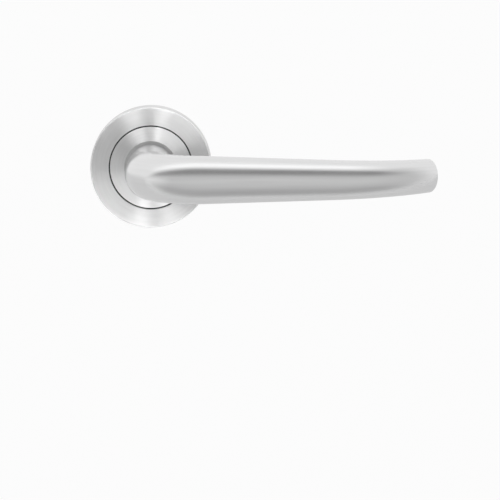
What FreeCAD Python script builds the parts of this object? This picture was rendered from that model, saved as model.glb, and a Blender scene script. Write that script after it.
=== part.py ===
import FreeCAD, Part
import math
import os

# Door lever handle on a round sprung rose. All sizes are in millimetres.
# The origin is on the spindle's axis, in the plane of the door's face. +Z is up, +X runs along the lever
# at rest, and -Y points out of the door. Distances called "out" are measured from the door's face towards
# the hand, so a point at out = 10 has y = -10, and a negative out lies inside the door.

# ---- Driving dimensions ----

# Rose
rose_diameter = 52.0
rose_depth = 10.0
cover_wall = 1.0
face_thickness = 1.2
cover_edge_round = 0.6
inner_disc_diameter = 35.0
disc_edge_round = 0.15
seam_width = 0.6
seam_recess = 0.4
rim_gap = 0.1

# Lever
neck_diameter = 20.6
neck_edge_round = 0.4
bar_out = 56.5
elbow_radius = 22.0
lever_reach = 118.1
return_run = 42.1
return_radius = 62.0
root_height = 20.2
root_depth = 16.4
tip_height = 14.2
tip_depth = 10.8
tip_edge_round = 0.9
sections_along = 54
points_around = 24

# Journal, bush and spindle
journal_diameter = 16.0
journal_end_out = 0.5
flat_depth = 0.75
running_clearance = 0.06
bush_wall = 1.0
bush_flange_overhang = 1.1
bush_flange_thickness = 0.6
bush_edge_round = 0.2
spindle_size = 8.0
spindle_chamfer = 0.5
spindle_clearance = 0.05
spindle_depth_in_neck = 24.0
spindle_length_in_door = 72.0
grub_screw_diameter = 5.0
grub_screw_out = 18.0
grub_screw_sink = 0.3
grub_hex_size = 2.5
grub_hex_depth = 2.4

# Base plate
web_thickness = 1.3
boss_wall = 1.05
lug_diameter = 7.8
lug_length = 6.0
bolt_spacing = 38.0
bolt_seat_out = 4.8
chamber_wall = 0.9
pocket_depth = 5.0
pocket_inner_wall = 0.9
pocket_outer_wall = 1.6
pocket_half_angle = 13.0
pocket_angles = (-36.0, 0.0, 36.0, 144.0, 180.0, 216.0)

# Spring chamber, from the door side outwards
plate_thickness = 0.8
plate_sink = 0.1
plate_edge_margin = 0.4
circlip_out = 1.1
circlip_thickness = 1.0
circlip_width = 2.4
groove_depth = 0.5
disc_spring_height = 0.45
disc_spring_sheet = 0.3
thrust_washer_thickness = 0.4
drive_disc_thickness = 1.3
disc_side_gap = 0.5
slide_washer_thickness = 0.3
washer_width = 2.1
spring_wire = 1.2
spring_turns = 1.35
spring_end_gap = 0.1
spring_leg_angle = 150.0

# Stops
lever_travel = 45.0
dog_width = 5.0
dog_reach = 3.2
stop_pin_diameter = 3.0
stop_gap = 0.15

# Fasteners
bolt_diameter = 4.0
bolt_shank_diameter = 3.5
bolt_thread_start = 8.0
bolt_hole_clearance = 0.2
washer_side_gap = 0.2
bolt_head_diameter = 7.0
bolt_head_height = 2.6
bolt_head_round = 0.7
bolt_length_in_door = 40.0
bolt_washer_diameter = 7.8
bolt_washer_thickness = 0.8
plate_screw_diameter = 2.4
plate_screw_head_diameter = 4.0
plate_screw_length = 4.6
plate_screw_angles = (65.0, 180.0, 295.0)
snap_wire = 1.0
snap_ring_out = 4.0
snap_ring_opening = 40.0

# Clearances
press_clearance = 0.02
assembly_gap = 0.1
axial_play = 0.05

# ---- Sizes worked out from them ----

rose_radius = rose_diameter / 2
cover_bore = rose_radius - cover_wall
plate_front = rose_depth - face_thickness
inner_disc_radius = inner_disc_diameter / 2
seam_outer_radius = inner_disc_radius + seam_width

neck_radius = neck_diameter / 2
neck_start = rose_depth + bush_flange_thickness + axial_play
elbow_start = bar_out - elbow_radius
return_start = lever_reach - return_run
elbow_from = elbow_start - neck_start
bar_from = elbow_from + elbow_radius * math.pi / 2
return_from = bar_from + return_start - elbow_radius
tip_from = return_from + return_radius * math.asin(return_run / return_radius)
journal_radius = journal_diameter / 2
flat_height = journal_radius - flat_depth
groove_radius = journal_radius - groove_depth
bush_bore = journal_radius + running_clearance
bush_radius = bush_bore + bush_wall
bush_seat = bush_radius + press_clearance
flange_radius = neck_radius + bush_flange_overhang
boss_radius = bush_radius + boss_wall

disc_spring_out = circlip_out + circlip_thickness
thrust_washer_out = disc_spring_out + disc_spring_height
drive_disc_out = thrust_washer_out + thrust_washer_thickness
drive_disc_front = drive_disc_out + drive_disc_thickness
slide_washer_out = drive_disc_front + axial_play
boss_end = slide_washer_out + slide_washer_thickness
web_back = plate_front - web_thickness

bolt_offset = bolt_spacing / 2
bolt_radius = bolt_diameter / 2
bolt_seat_radius = bolt_washer_diameter / 2 + washer_side_gap
chamber_radius = bolt_offset - bolt_seat_radius - chamber_wall
spring_radius = (boss_radius + chamber_radius) / 2
drive_disc_radius = chamber_radius - disc_side_gap
washer_bore = journal_radius + assembly_gap
washer_radius = washer_bore + washer_width

dog_end = drive_disc_radius + dog_reach
stop_pin_radius = stop_pin_diameter / 2
stop_pin_circle = dog_end - stop_pin_radius
dog_to_pin = dog_width / 2 + stop_pin_radius + stop_gap
stop_pin_angle = lever_travel / 2 + math.degrees(math.asin(dog_to_pin / stop_pin_circle))
stop_pin_depth = 0.6 * (plate_front - boss_end)
stop_room_radius = dog_end + 0.4
stop_room_angle = stop_pin_angle + 7.0
stop_room_floor = boss_end

base_radius = cover_bore - 0.4
plate_screw_circle = chamber_radius + plate_screw_diameter / 2 + chamber_wall
plate_screw_head_edge = plate_screw_circle + plate_screw_head_diameter / 2
plate_radius = max(plate_screw_head_edge, stop_room_radius) + plate_edge_margin
pocket_inner_radius = plate_radius + pocket_inner_wall
lug_radius = lug_diameter / 2


# ---- Helpers ----

def rod(radius, near, far, x=0.0, z=0.0):
    """A cylinder along the spindle's direction, from out = near to out = far."""
    return Part.makeCylinder(radius, far - near, FreeCAD.Vector(x, -near, z), FreeCAD.Vector(0, -1, 0))


def tube(outer, inner, near, far, x=0.0, z=0.0):
    """A rod with a hole along its axis."""
    return rod(outer, near, far, x, z).cut(rod(inner, near, far, x, z))


def taper(near_radius, far_radius, near, far, x=0.0, z=0.0):
    """A cone along the spindle's direction."""
    start = FreeCAD.Vector(x, -near, z)
    return Part.makeCone(near_radius, far_radius, far - near, start, FreeCAD.Vector(0, -1, 0))


def block(width, height, near, far, x=0.0, z=0.0):
    """A box centred on x and z, from out = near to out = far."""
    corner = FreeCAD.Vector(x - width / 2, -far, z - height / 2)
    return Part.makeBox(width, far - near, height, corner)


def place_on_clock(radius, angle):
    """The x and z of a point at this radius, angle degrees clockwise from the top, seen from outside."""
    return radius * math.sin(math.radians(angle)), radius * math.cos(math.radians(angle))


def turn(shape, angle):
    """The shape turned about the spindle's axis, clockwise as seen from outside."""
    turned = shape.copy()
    turned.rotate(FreeCAD.Vector(0, 0, 0), FreeCAD.Vector(0, 1, 0), angle)
    return turned


def ring_sector(outer, inner, near, far, half_angle):
    """A piece of a flat ring, centred on the top."""
    start = FreeCAD.Vector(0, -near, 0)
    sweep = 2 * half_angle
    pie = Part.makeCylinder(outer, far - near, start, FreeCAD.Vector(0, -1, 0), sweep)
    first_edge = pie.CenterOfMass
    lean = math.degrees(math.atan2(first_edge.x, first_edge.z))
    return turn(pie, -lean).cut(rod(inner, near, far))


def circle_edges(shape, radius, out):
    """The round edges of one radius that lie at this distance from the door."""
    found = []
    for edge in shape.Edges:
        curve = edge.Curve
        if not isinstance(curve, Part.Circle):
            continue
        if abs(curve.Radius - radius) < 1e-4 and abs(-curve.Center.y - out) < 1e-4:
            found.append(edge)
    return found


def joined(first, others):
    """One solid made from several that touch."""
    return first.multiFuse(others).removeSplitter()


# ---- Lever ----

def centreline(distance):
    """The x, out and heading of the lever's centreline, at a distance along it from the neck's start.

    The heading is 0 straight out of the door, 90 degrees along the bar and more on the way back to it.
    """
    if distance < elbow_from:
        return 0.0, neck_start + distance, 0.0
    if distance < bar_from:
        heading = (distance - elbow_from) / elbow_radius
        x = elbow_radius * (1 - math.cos(heading))
        return x, elbow_start + elbow_radius * math.sin(heading), heading
    if distance < return_from:
        return elbow_radius + distance - bar_from, bar_out, math.pi / 2
    turned = (distance - return_from) / return_radius
    x = return_start + return_radius * math.sin(turned)
    return x, bar_out - return_radius * (1 - math.cos(turned)), math.pi / 2 + turned


def half_section(x, heading):
    """Half the lever's height and depth: round at the neck, oval along the bar and tapering to the tip."""
    share = max(x - elbow_radius, 0) / (lever_reach - elbow_radius)
    bar_height = root_height + (tip_height - root_height) * share
    bar_depth = root_depth + (tip_depth - root_depth) * share
    through_elbow = min(heading / (math.pi / 2), 1)
    blend = through_elbow ** 2 * (3 - 2 * through_elbow)
    half_height = neck_radius + (bar_height / 2 - neck_radius) * blend
    half_depth = neck_radius + (bar_depth / 2 - neck_radius) * blend
    return half_height, half_depth


def section_points(unit_points, distance):
    """Points of a unit circle, stretched and placed across the centreline at this distance along it."""
    x, out, heading = centreline(distance)
    half_height, half_depth = half_section(x, heading)
    middle = FreeCAD.Vector(x, -out, 0)
    up = FreeCAD.Vector(0, 0, half_height)
    across = FreeCAD.Vector(-math.cos(heading), -math.sin(heading), 0) * half_depth
    return [middle + up * point.x + across * point.y for point in unit_points]


def grip_surface():
    """One smooth skin over the neck, the elbow and the bar, open at both ends.

    A closed curve through points of the unit circle gives the poles round the lever. Each pole then
    becomes a curve along the lever, through that pole's place in every section.
    """
    around = Part.BSplineCurve()
    circle_points = []
    for step in range(points_around):
        angle = 2 * math.pi * step / points_around
        circle_points.append(FreeCAD.Vector(math.cos(angle), math.sin(angle), 0))
    around.interpolate(Points=circle_points, PeriodicFlag=True)
    distances = [tip_from * step / sections_along for step in range(sections_along + 1)]
    sections = [section_points(around.getPoles(), distance) for distance in distances]
    lines = []
    for pole_places in zip(*sections):
        line = Part.BSplineCurve()
        line.interpolate(Points=list(pole_places), Parameters=distances)
        lines.append(line)
    surface = Part.BSplineSurface()
    surface.buildFromPolesMultsKnots(
        [line.getPoles() for line in lines],
        around.getMultiplicities(), lines[0].getMultiplicities(),
        around.getKnots(), lines[0].getKnots(),
        True, False, around.Degree, lines[0].Degree)
    return surface.toShape()


def capped(skin):
    """A solid from an open skin, with a flat face over each closed end."""
    caps = [Part.Face(Part.Wire([edge])) for edge in skin.Edges if edge.isClosed()]
    shell = Part.makeShell([skin] + caps)
    shell.sewShape()
    return Part.Solid(shell)


def lever_handle():
    """The cast lever: neck, elbow and bar, with the journal that turns in the rose."""
    lever = capped(grip_surface())
    tip_face = max(lever.Faces, key=lambda face: face.CenterOfMass.x if len(face.Edges) == 1 else 0)
    lever = lever.makeFillet(tip_edge_round, tip_face.Edges)
    neck_face = max(lever.Faces, key=lambda face: face.CenterOfMass.y)
    lever = lever.makeFillet(neck_edge_round, neck_face.Edges)
    lever = joined(lever, [rod(journal_radius, journal_end_out, neck_start)])
    for side in (-1, 1):
        beyond_flat = side * (flat_height + flat_depth)
        lever = lever.cut(block(2 * journal_radius, 2 * flat_depth, journal_end_out, drive_disc_front,
                                0, beyond_flat))
    groove_near = circlip_out - axial_play
    groove_far = circlip_out + circlip_thickness + axial_play
    lever = lever.cut(tube(journal_radius + 1, groove_radius, groove_near, groove_far))
    socket_size = spindle_size + 2 * spindle_clearance
    lever = lever.cut(block(socket_size, socket_size, journal_end_out, spindle_depth_in_neck + 1.0))
    screw_hole = Part.makeCylinder(grub_screw_diameter / 2 + press_clearance, neck_radius,
                                   FreeCAD.Vector(0, -grub_screw_out, -spindle_size / 4),
                                   FreeCAD.Vector(0, 0, -1))
    return lever.cut(screw_hole)


def spindle():
    """The square bar that turns the latch, with its long edges and ends bevelled."""
    bar = block(spindle_size, spindle_size, -spindle_length_in_door, spindle_depth_in_neck)
    return bar.makeChamfer(spindle_chamfer, bar.Edges)


def spindle_grub_screw():
    """The socket screw under the neck, tightened on the spindle."""
    top = spindle_size / 2
    bottom = neck_radius - grub_screw_sink
    down = FreeCAD.Vector(0, 0, -1)
    screw = Part.makeCylinder(grub_screw_diameter / 2, bottom - top,
                              FreeCAD.Vector(0, -grub_screw_out, -top), down)
    end_edges = [edge for edge in screw.Edges if isinstance(edge.Curve, Part.Circle)]
    screw = screw.makeChamfer(0.4, end_edges)
    corner_radius = grub_hex_size / math.sqrt(3)
    corners = []
    for corner in range(7):
        angle = math.radians(60 * corner)
        corners.append(FreeCAD.Vector(corner_radius * math.cos(angle),
                                      -grub_screw_out + corner_radius * math.sin(angle), -bottom))
    hexagon = Part.Face(Part.makePolygon(corners))
    return screw.cut(hexagon.extrude(FreeCAD.Vector(0, 0, grub_hex_depth)))


# ---- Rose ----

def rose_cover():
    """The pressed outer shell of the rose, open at the back and round the inner disc."""
    shell = rod(rose_radius, rim_gap, rose_depth)
    shell = shell.makeFillet(cover_edge_round, circle_edges(shell, rose_radius, rose_depth))
    shell = shell.cut(rod(cover_bore, 0, plate_front))
    shell = shell.cut(rod(seam_outer_radius, 0, rose_depth))
    snap_half = snap_wire / 2 + assembly_gap
    snap_groove = rod(cover_bore + 0.1, snap_ring_out - snap_half, snap_ring_out + snap_half)
    shell = shell.cut(snap_groove)
    return shell.makeFillet(disc_edge_round, circle_edges(shell, seam_outer_radius, rose_depth))


def rose_inner_disc():
    """The flat disc round the neck, flush with the cover."""
    disc = rod(inner_disc_radius, plate_front, rose_depth)
    disc = disc.makeFillet(disc_edge_round, circle_edges(disc, inner_disc_radius, rose_depth))
    return disc.cut(rod(bush_radius + assembly_gap, plate_front, rose_depth))


def seam_ring():
    """The dark ring that fills the gap between cover and disc, a little below their face."""
    return tube(seam_outer_radius, inner_disc_radius, plate_front, rose_depth - seam_recess)


def neck_bush():
    """The plastic bearing of the lever's journal, whose flange lies on the inner disc."""
    flange = rod(flange_radius, rose_depth, rose_depth + bush_flange_thickness)
    front = rose_depth + bush_flange_thickness
    flange = flange.makeFillet(bush_edge_round, circle_edges(flange, flange_radius, front))
    bush = joined(flange, [rod(bush_radius, boss_end, rose_depth)])
    return bush.cut(rod(bush_bore, boss_end, front))


def cover_snap_ring():
    """The open wire ring on the base plate's rim that grips the cover."""
    ring_radius = cover_bore + 0.05 - snap_wire / 2
    ring = Part.makeTorus(ring_radius, snap_wire / 2, FreeCAD.Vector(0, -snap_ring_out, 0),
                          FreeCAD.Vector(0, -1, 0), 0, 360, 360 - snap_ring_opening)
    return ring


# ---- Base plate and its fixings ----

def plate_blank(grow, near, far):
    """The cassette plate's outline: a disc with a notch round each bolt lug, grown by a clearance."""
    blank = rod(plate_radius + grow, near, far)
    for side in (-1, 1):
        blank = blank.cut(rod(lug_radius + 0.4 - grow, near, far, side * bolt_offset))
    return blank


def bolt_place(side):
    """The x of one fixing bolt."""
    return side * bolt_offset


def base_plate():
    """The die-cast plate that is bolted to the door and carries everything else."""
    plate = rod(base_radius, 0, plate_front)
    plate = plate.cut(plate_blank(assembly_gap, 0, plate_sink + plate_thickness))
    plate = plate.cut(rod(chamber_radius, 0, web_back))
    stop_room = ring_sector(stop_room_radius, chamber_radius - 1, 0, stop_room_floor, stop_room_angle)
    plate = plate.cut(stop_room)
    outer = base_radius - pocket_outer_wall
    for angle in pocket_angles:
        pocket = ring_sector(outer, pocket_inner_radius, 0, pocket_depth, pocket_half_angle)
        plate = plate.cut(turn(pocket, angle))
    additions = [rod(boss_radius, boss_end, plate_front)]
    for side in (-1, 1):
        additions.append(rod(lug_radius, -lug_length, bolt_seat_out, bolt_place(side)))
    plate = joined(plate, additions)
    plate = plate.cut(rod(bush_seat, boss_end, plate_front))
    for side in (-1, 1):
        x = bolt_place(side)
        plate = plate.cut(rod(bolt_radius + bolt_hole_clearance, -lug_length, plate_front, x))
        plate = plate.cut(rod(bolt_seat_radius, bolt_seat_out, plate_front, x))
        x, z = place_on_clock(stop_pin_circle, side * stop_pin_angle)
        plate = plate.cut(rod(stop_pin_radius, stop_room_floor, stop_room_floor + stop_pin_depth, x, z))
    for angle in plate_screw_angles:
        x, z = place_on_clock(plate_screw_circle, angle)
        screw_end = plate_sink + plate_screw_length
        plate = plate.cut(rod(plate_screw_diameter / 2, 0, screw_end, x, z))
    x, z = place_on_clock(spring_radius, spring_leg_angle)
    leg_hole = rod(spring_wire / 2 + 0.15, web_back, plate_front - 0.2, x, z)
    plate = plate.cut(leg_hole)
    snap_half = snap_wire / 2 + assembly_gap
    snap_groove = tube(base_radius + 1, cover_bore - snap_wire, snap_ring_out - snap_half,
                       snap_ring_out + snap_half)
    return plate.cut(snap_groove)


def cassette_plate():
    """The thin plate that closes the spring chamber, a little behind the door's face."""
    far = plate_sink + plate_thickness
    plate = plate_blank(0, plate_sink, far)
    plate = plate.cut(rod(journal_radius + 0.4, plate_sink, far))
    for angle in plate_screw_angles:
        x, z = place_on_clock(plate_screw_circle, angle)
        plate = plate.cut(taper(plate_screw_head_diameter / 2, plate_screw_diameter / 2,
                                plate_sink, far, x, z))
    return plate


def plate_screws():
    """Three countersunk screws, flush with the cassette plate."""
    screws = []
    far = plate_sink + plate_thickness
    for angle in plate_screw_angles:
        x, z = place_on_clock(plate_screw_circle, angle)
        head = taper(plate_screw_head_diameter / 2, plate_screw_diameter / 2, plate_sink, far, x, z)
        shank = rod(plate_screw_diameter / 2, far, plate_sink + plate_screw_length, x, z)
        slot = block(plate_screw_head_diameter, 0.6, plate_sink, plate_sink + 0.4)
        slot = turn(slot, angle)
        slot.translate(FreeCAD.Vector(x, 0, z))
        screws.append(joined(head, [shank]).cut(slot))
    return Part.makeCompound(screws)


def fixing_bolts():
    """Two through bolts with sunk heads and plain shanks; the thread starts past the lugs."""
    bolts = []
    head_near = bolt_seat_out + bolt_washer_thickness
    head_far = head_near + bolt_head_height
    for side in (-1, 1):
        x = bolt_place(side)
        head = rod(bolt_head_diameter / 2, head_near, head_far, x)
        head = head.makeFillet(bolt_head_round, circle_edges(head, bolt_head_diameter / 2, head_far))
        for width, height in ((4.2, 0.9), (0.9, 4.2)):
            head = head.cut(block(width, height, head_far - 1.5, head_far, x))
        thread = rod(bolt_radius, -bolt_length_in_door, -bolt_thread_start, x)
        thread = thread.makeChamfer(0.5, circle_edges(thread, bolt_radius, -bolt_length_in_door))
        shank = rod(bolt_shank_diameter / 2, -bolt_thread_start, head_near, x)
        bolts.append(joined(head, [shank, thread]))
    return Part.makeCompound(bolts)


def bolt_washers():
    """One flat washer under each bolt head."""
    washers = []
    for side in (-1, 1):
        washers.append(tube(bolt_washer_diameter / 2, bolt_radius + 0.15, bolt_seat_out,
                            bolt_seat_out + bolt_washer_thickness, bolt_place(side)))
    return Part.makeCompound(washers)


# ---- Spring chamber ----

def drive_disc():
    """The disc keyed on the journal's flats; its dog meets a stop pin at each end of the travel."""
    disc = rod(drive_disc_radius, drive_disc_out, drive_disc_front)
    inside = drive_disc_radius - 2
    dog = block(dog_width, dog_end - inside, drive_disc_out, drive_disc_front, 0, (dog_end + inside) / 2)
    disc = joined(disc, [turn(dog, -lever_travel / 2)])
    key_height = 2 * (flat_height + press_clearance)
    key_hole = rod(journal_radius + press_clearance, drive_disc_out, drive_disc_front)
    key_hole = key_hole.common(block(3 * journal_radius, key_height, drive_disc_out, drive_disc_front))
    disc = disc.cut(key_hole)
    x, z = place_on_clock(spring_radius, spring_start_angle())
    return disc.cut(rod(spring_wire / 2 + 0.15, drive_disc_out, drive_disc_front, x, z))


def spring_start_angle():
    """Where the spring's leg enters the drive disc, clockwise from the top."""
    return spring_leg_angle + 360 * spring_turns


def return_spring():
    """The wire spring round the boss, with one leg in the drive disc and one in the base plate."""
    wire_radius = spring_wire / 2
    near = drive_disc_front + spring_end_gap + wire_radius
    far = web_back - spring_end_gap - wire_radius
    rise = far - near
    helix = Part.makeHelix(rise / spring_turns, rise, spring_radius)
    section = Part.Wire([Part.makeCircle(wire_radius, FreeCAD.Vector(spring_radius, 0, 0),
                                         FreeCAD.Vector(0, 1, 0))])
    coil = Part.Wire(helix.Edges).makePipeShell([section], True, True)
    coil.rotate(FreeCAD.Vector(0, 0, 0), FreeCAD.Vector(1, 0, 0), 90)
    coil.translate(FreeCAD.Vector(0, -near, 0))
    coil = turn(coil, spring_start_angle() - 90)
    parts = []
    for angle, leg_near, leg_far, knee in (
        (spring_start_angle(), drive_disc_out + 0.2, near, near),
        (spring_leg_angle, far, plate_front - 0.4, far),
    ):
        x, z = place_on_clock(spring_radius, angle)
        parts.append(Part.makeSphere(wire_radius, FreeCAD.Vector(x, -knee, z)))
        parts.append(rod(wire_radius, leg_near, leg_far, x, z))
    return joined(coil, parts)


def stop_pins():
    """Two pins pressed in the base plate, one at each end of the dog's travel."""
    pins = []
    for side in (-1, 1):
        x, z = place_on_clock(stop_pin_circle, side * stop_pin_angle)
        near = plate_sink + plate_thickness + 0.2
        pins.append(rod(stop_pin_radius, near, stop_room_floor + stop_pin_depth, x, z))
    return Part.makeCompound(pins)


def slide_washer():
    """The plastic washer between the fixed boss and the turning disc."""
    return tube(boss_radius, washer_bore, slide_washer_out, boss_end)


def thrust_washer():
    """The flat steel washer behind the drive disc."""
    return tube(washer_radius, washer_bore, thrust_washer_out, drive_disc_out)


def disc_spring():
    """The conical spring washer between the thrust washer and the circlip."""
    rise = disc_spring_height - disc_spring_sheet
    profile = [
        (washer_bore, disc_spring_out),
        (washer_radius, disc_spring_out + rise),
        (washer_radius, thrust_washer_out),
        (washer_bore, disc_spring_out + disc_spring_sheet),
        (washer_bore, disc_spring_out),
    ]
    corners = [FreeCAD.Vector(radius, -out, 0) for radius, out in profile]
    section = Part.Face(Part.makePolygon(corners))
    return section.revolve(FreeCAD.Vector(0, 0, 0), FreeCAD.Vector(0, 1, 0), 360)


def circlip():
    """The open ring in the journal's groove, with two eyes for the pliers."""
    far = circlip_out + circlip_thickness
    bore = groove_radius + press_clearance
    ring = tube(bore + circlip_width, bore, circlip_out, far)
    eye_radius = 1.7
    eye_circle = bore + circlip_width - 0.3
    eyes = []
    holes = []
    for side in (-1, 1):
        x, z = place_on_clock(eye_circle, 180 + side * 16)
        eyes.append(rod(eye_radius, circlip_out, far, x, z))
        holes.append(rod(0.7, circlip_out, far, x, z))
    ring = joined(ring, eyes)
    ring = ring.cut(rod(bore, circlip_out, far))
    gap = block(2.0, 2 * circlip_width + 4, circlip_out, far, 0, -eye_circle)
    ring = ring.cut(gap)
    for hole in holes:
        ring = ring.cut(hole)
    return ring


# ---- Write each piece to its own file ----

pieces = {
    "lever_handle": lever_handle,
    "spindle": spindle,
    "spindle_grub_screw": spindle_grub_screw,
    "rose_cover": rose_cover,
    "rose_inner_disc": rose_inner_disc,
    "seam_ring": seam_ring,
    "neck_bush": neck_bush,
    "cover_snap_ring": cover_snap_ring,
    "base_plate": base_plate,
    "cassette_plate": cassette_plate,
    "plate_screws": plate_screws,
    "fixing_bolts": fixing_bolts,
    "bolt_washers": bolt_washers,
    "drive_disc": drive_disc,
    "return_spring": return_spring,
    "stop_pins": stop_pins,
    "slide_washer": slide_washer,
    "thrust_washer": thrust_washer,
    "disc_spring": disc_spring,
    "circlip": circlip,
}

os.makedirs("parts", exist_ok=True)
for name, make in pieces.items():
    shape = make()
    if not shape.isValid():
        print(name, "is not a valid shape")
    shape.exportStep(os.path.join("parts", name + ".step"))
    print(name, len(shape.Solids), "solids", round(shape.Volume, 2), "mm3")
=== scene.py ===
import math

import bmesh
import bpy
from mathutils import Matrix, Vector


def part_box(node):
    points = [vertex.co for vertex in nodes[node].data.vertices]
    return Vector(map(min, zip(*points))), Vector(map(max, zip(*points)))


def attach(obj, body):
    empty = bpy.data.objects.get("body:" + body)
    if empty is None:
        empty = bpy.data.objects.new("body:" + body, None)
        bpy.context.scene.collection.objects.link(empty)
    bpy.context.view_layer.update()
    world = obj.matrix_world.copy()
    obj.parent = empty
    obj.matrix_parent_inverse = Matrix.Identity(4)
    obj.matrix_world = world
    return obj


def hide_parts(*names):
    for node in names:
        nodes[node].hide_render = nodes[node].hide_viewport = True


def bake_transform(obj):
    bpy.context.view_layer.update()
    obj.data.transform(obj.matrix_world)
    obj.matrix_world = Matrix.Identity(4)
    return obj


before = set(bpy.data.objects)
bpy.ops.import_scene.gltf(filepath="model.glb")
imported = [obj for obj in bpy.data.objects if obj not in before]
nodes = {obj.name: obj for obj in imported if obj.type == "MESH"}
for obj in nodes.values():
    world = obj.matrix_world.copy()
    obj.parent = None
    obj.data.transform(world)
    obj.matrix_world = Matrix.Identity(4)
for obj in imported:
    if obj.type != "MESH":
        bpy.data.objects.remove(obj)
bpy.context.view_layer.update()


# ==== Base plate ====
# The die-cast zinc plate that is bolted to the door and carries everything else. Two lugs locate it in
# the door, pockets lighten its back, and the casting skin is left grainy, with a faint mottle.

def new_material(name, color, metallic, roughness):
    """An empty node material with a Principled BSDF, whose plain numbers sit on its own sockets."""
    material = bpy.data.materials.new(name)
    material.use_nodes = True
    tree = material.node_tree
    shader = tree.nodes["Principled BSDF"]
    shader.inputs["Base Color"].default_value = (*color, 1.0)
    shader.inputs["Metallic"].default_value = metallic
    shader.inputs["Roughness"].default_value = roughness
    return material, tree, shader


def connect(tree, output, socket):
    """Joins an output socket to an input socket."""
    tree.links.new(output, socket)


def add_node(tree, kind, label="", **settings):
    """A node with a label, and with its own settings made."""
    node = tree.nodes.new(kind)
    node.label = label
    for key, value in settings.items():
        setattr(node, key, value)
    return node


def make_group(name, inputs, outputs):
    """An empty shader node group with named sockets: (name, type, default)."""
    group = bpy.data.node_groups.new(name, "ShaderNodeTree")
    for socket, kind, default in inputs:
        made = group.interface.new_socket(socket, in_out="INPUT", socket_type=kind)
        if default is not None:
            made.default_value = default
    for socket, kind in outputs:
        group.interface.new_socket(socket, in_out="OUTPUT", socket_type=kind)
    entry = group.nodes.new("NodeGroupInput")
    leave = group.nodes.new("NodeGroupOutput")
    return group, entry, leave


def use_group(tree, group, **values):
    """Places a node group in a material and sets its inputs: a socket is linked, a number is set."""
    node = tree.nodes.new("ShaderNodeGroup")
    node.node_tree = group
    for name, value in values.items():
        socket = node.inputs[name]
        if isinstance(value, bpy.types.NodeSocket):
            connect(tree, value, socket)
        else:
            socket.default_value = value
    return node


def math_node(tree, operation, first, second=None, clamp=False):
    """One Math node. Each operand is a socket or a number."""
    node = tree.nodes.new("ShaderNodeMath")
    node.operation = operation
    node.use_clamp = clamp
    for index, value in enumerate((first, second)):
        if isinstance(value, bpy.types.NodeSocket):
            connect(tree, value, node.inputs[index])
        elif value is not None:
            node.inputs[index].default_value = value
    return node.outputs[0]


def mix_colors(tree, share, first, second):
    """A colour between two others, by a mask."""
    node = tree.nodes.new("ShaderNodeMix")
    node.data_type = "RGBA"
    connect(tree, share, node.inputs["Factor"])
    node.inputs[6].default_value = (*first, 1.0)
    node.inputs[7].default_value = (*second, 1.0)
    return node.outputs[2]


def noise(tree, vector, scale, detail=3.0, rough=0.5):
    """The value of a noise texture."""
    node = tree.nodes.new("ShaderNodeTexNoise")
    connect(tree, vector, node.inputs["Vector"])
    node.inputs["Scale"].default_value = scale
    node.inputs["Detail"].default_value = detail
    node.inputs["Roughness"].default_value = rough
    return node.outputs["Fac"]


def ranged(tree, value, low, high, to_low=0.0, to_high=1.0):
    """A value moved from one range to another and kept inside it."""
    node = tree.nodes.new("ShaderNodeMapRange")
    connect(tree, value, node.inputs["Value"])
    node.inputs["From Min"].default_value = low
    node.inputs["From Max"].default_value = high
    node.inputs["To Min"].default_value = to_low
    node.inputs["To Max"].default_value = to_high
    return node.outputs["Result"]


def object_position(tree):
    """The place on the object, in metres."""
    return tree.nodes.new("ShaderNodeTexCoord").outputs["Object"]


def make_patches_group():
    """Soft uneven patches, and fine specks, as handling, plating and a casting's skin leave them."""
    group, entry, leave = make_group(
        "soft patches",
        [("Vector", "NodeSocketVector", None), ("Patch Scale", "NodeSocketFloat", 120.0),
         ("Speck Scale", "NodeSocketFloat", 2500.0)],
        [("Patches", "NodeSocketFloat"), ("Specks", "NodeSocketFloat")])
    for output, scale, detail, low, high in (("Patches", "Patch Scale", 4.0, 0.32, 0.68),
                                             ("Specks", "Speck Scale", 2.0, 0.25, 0.75)):
        texture = add_node(group, "ShaderNodeTexNoise", output)
        texture.inputs["Detail"].default_value = detail
        connect(group, entry.outputs["Vector"], texture.inputs["Vector"])
        connect(group, entry.outputs[scale], texture.inputs["Scale"])
        connect(group, ranged(group, texture.outputs["Fac"], low, high), leave.inputs[output])
    return group


soft_patches = make_patches_group()


def bump(tree, shader, height, strength, distance):
    """Feeds a height through a Bump node to the shader's normal."""
    node = tree.nodes.new("ShaderNodeBump")
    node.inputs["Strength"].default_value = strength
    node.inputs["Distance"].default_value = distance
    connect(tree, height, node.inputs["Height"])
    connect(tree, node.outputs["Normal"], shader.inputs["Normal"])


def plain_metal(name, dark, light, rough_low, rough_high, patch_scale, speck_scale, depth, metallic=1.0):
    """A metal with uneven patches, whose colour and gloss vary, and a fine skin in its bump."""
    material, tree, shader = new_material(name, light, metallic, rough_low)
    patches = use_group(tree, soft_patches, Vector=object_position(tree),
                        **{"Patch Scale": patch_scale, "Speck Scale": speck_scale})
    connect(tree, mix_colors(tree, patches.outputs["Patches"], dark, light), shader.inputs["Base Color"])
    gloss = ranged(tree, patches.outputs["Patches"], 0.0, 1.0, to_low=rough_high, to_high=rough_low)
    connect(tree, gloss, shader.inputs["Roughness"])
    bump(tree, shader, patches.outputs["Specks"], strength=0.5, distance=depth)
    return material


def finish_node(node, material):
    """Gives a CAD node's slots a finished material."""
    for slot in nodes[node].material_slots:
        slot.material = material


cast_zinc = plain_metal("cast zinc", dark=(0.30, 0.305, 0.31), light=(0.42, 0.42, 0.42),
                        rough_low=0.42, rough_high=0.58, patch_scale=140.0, speck_scale=2600.0, depth=0.00004)
finish_node("base_plate", cast_zinc)


# ==== Neck bush ====
# The turned plastic bearing pressed in the base plate. Its thin flange lies on the face of the rose, with
# the lever's neck running on it. It is grey nylon, slightly matt.

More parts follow.
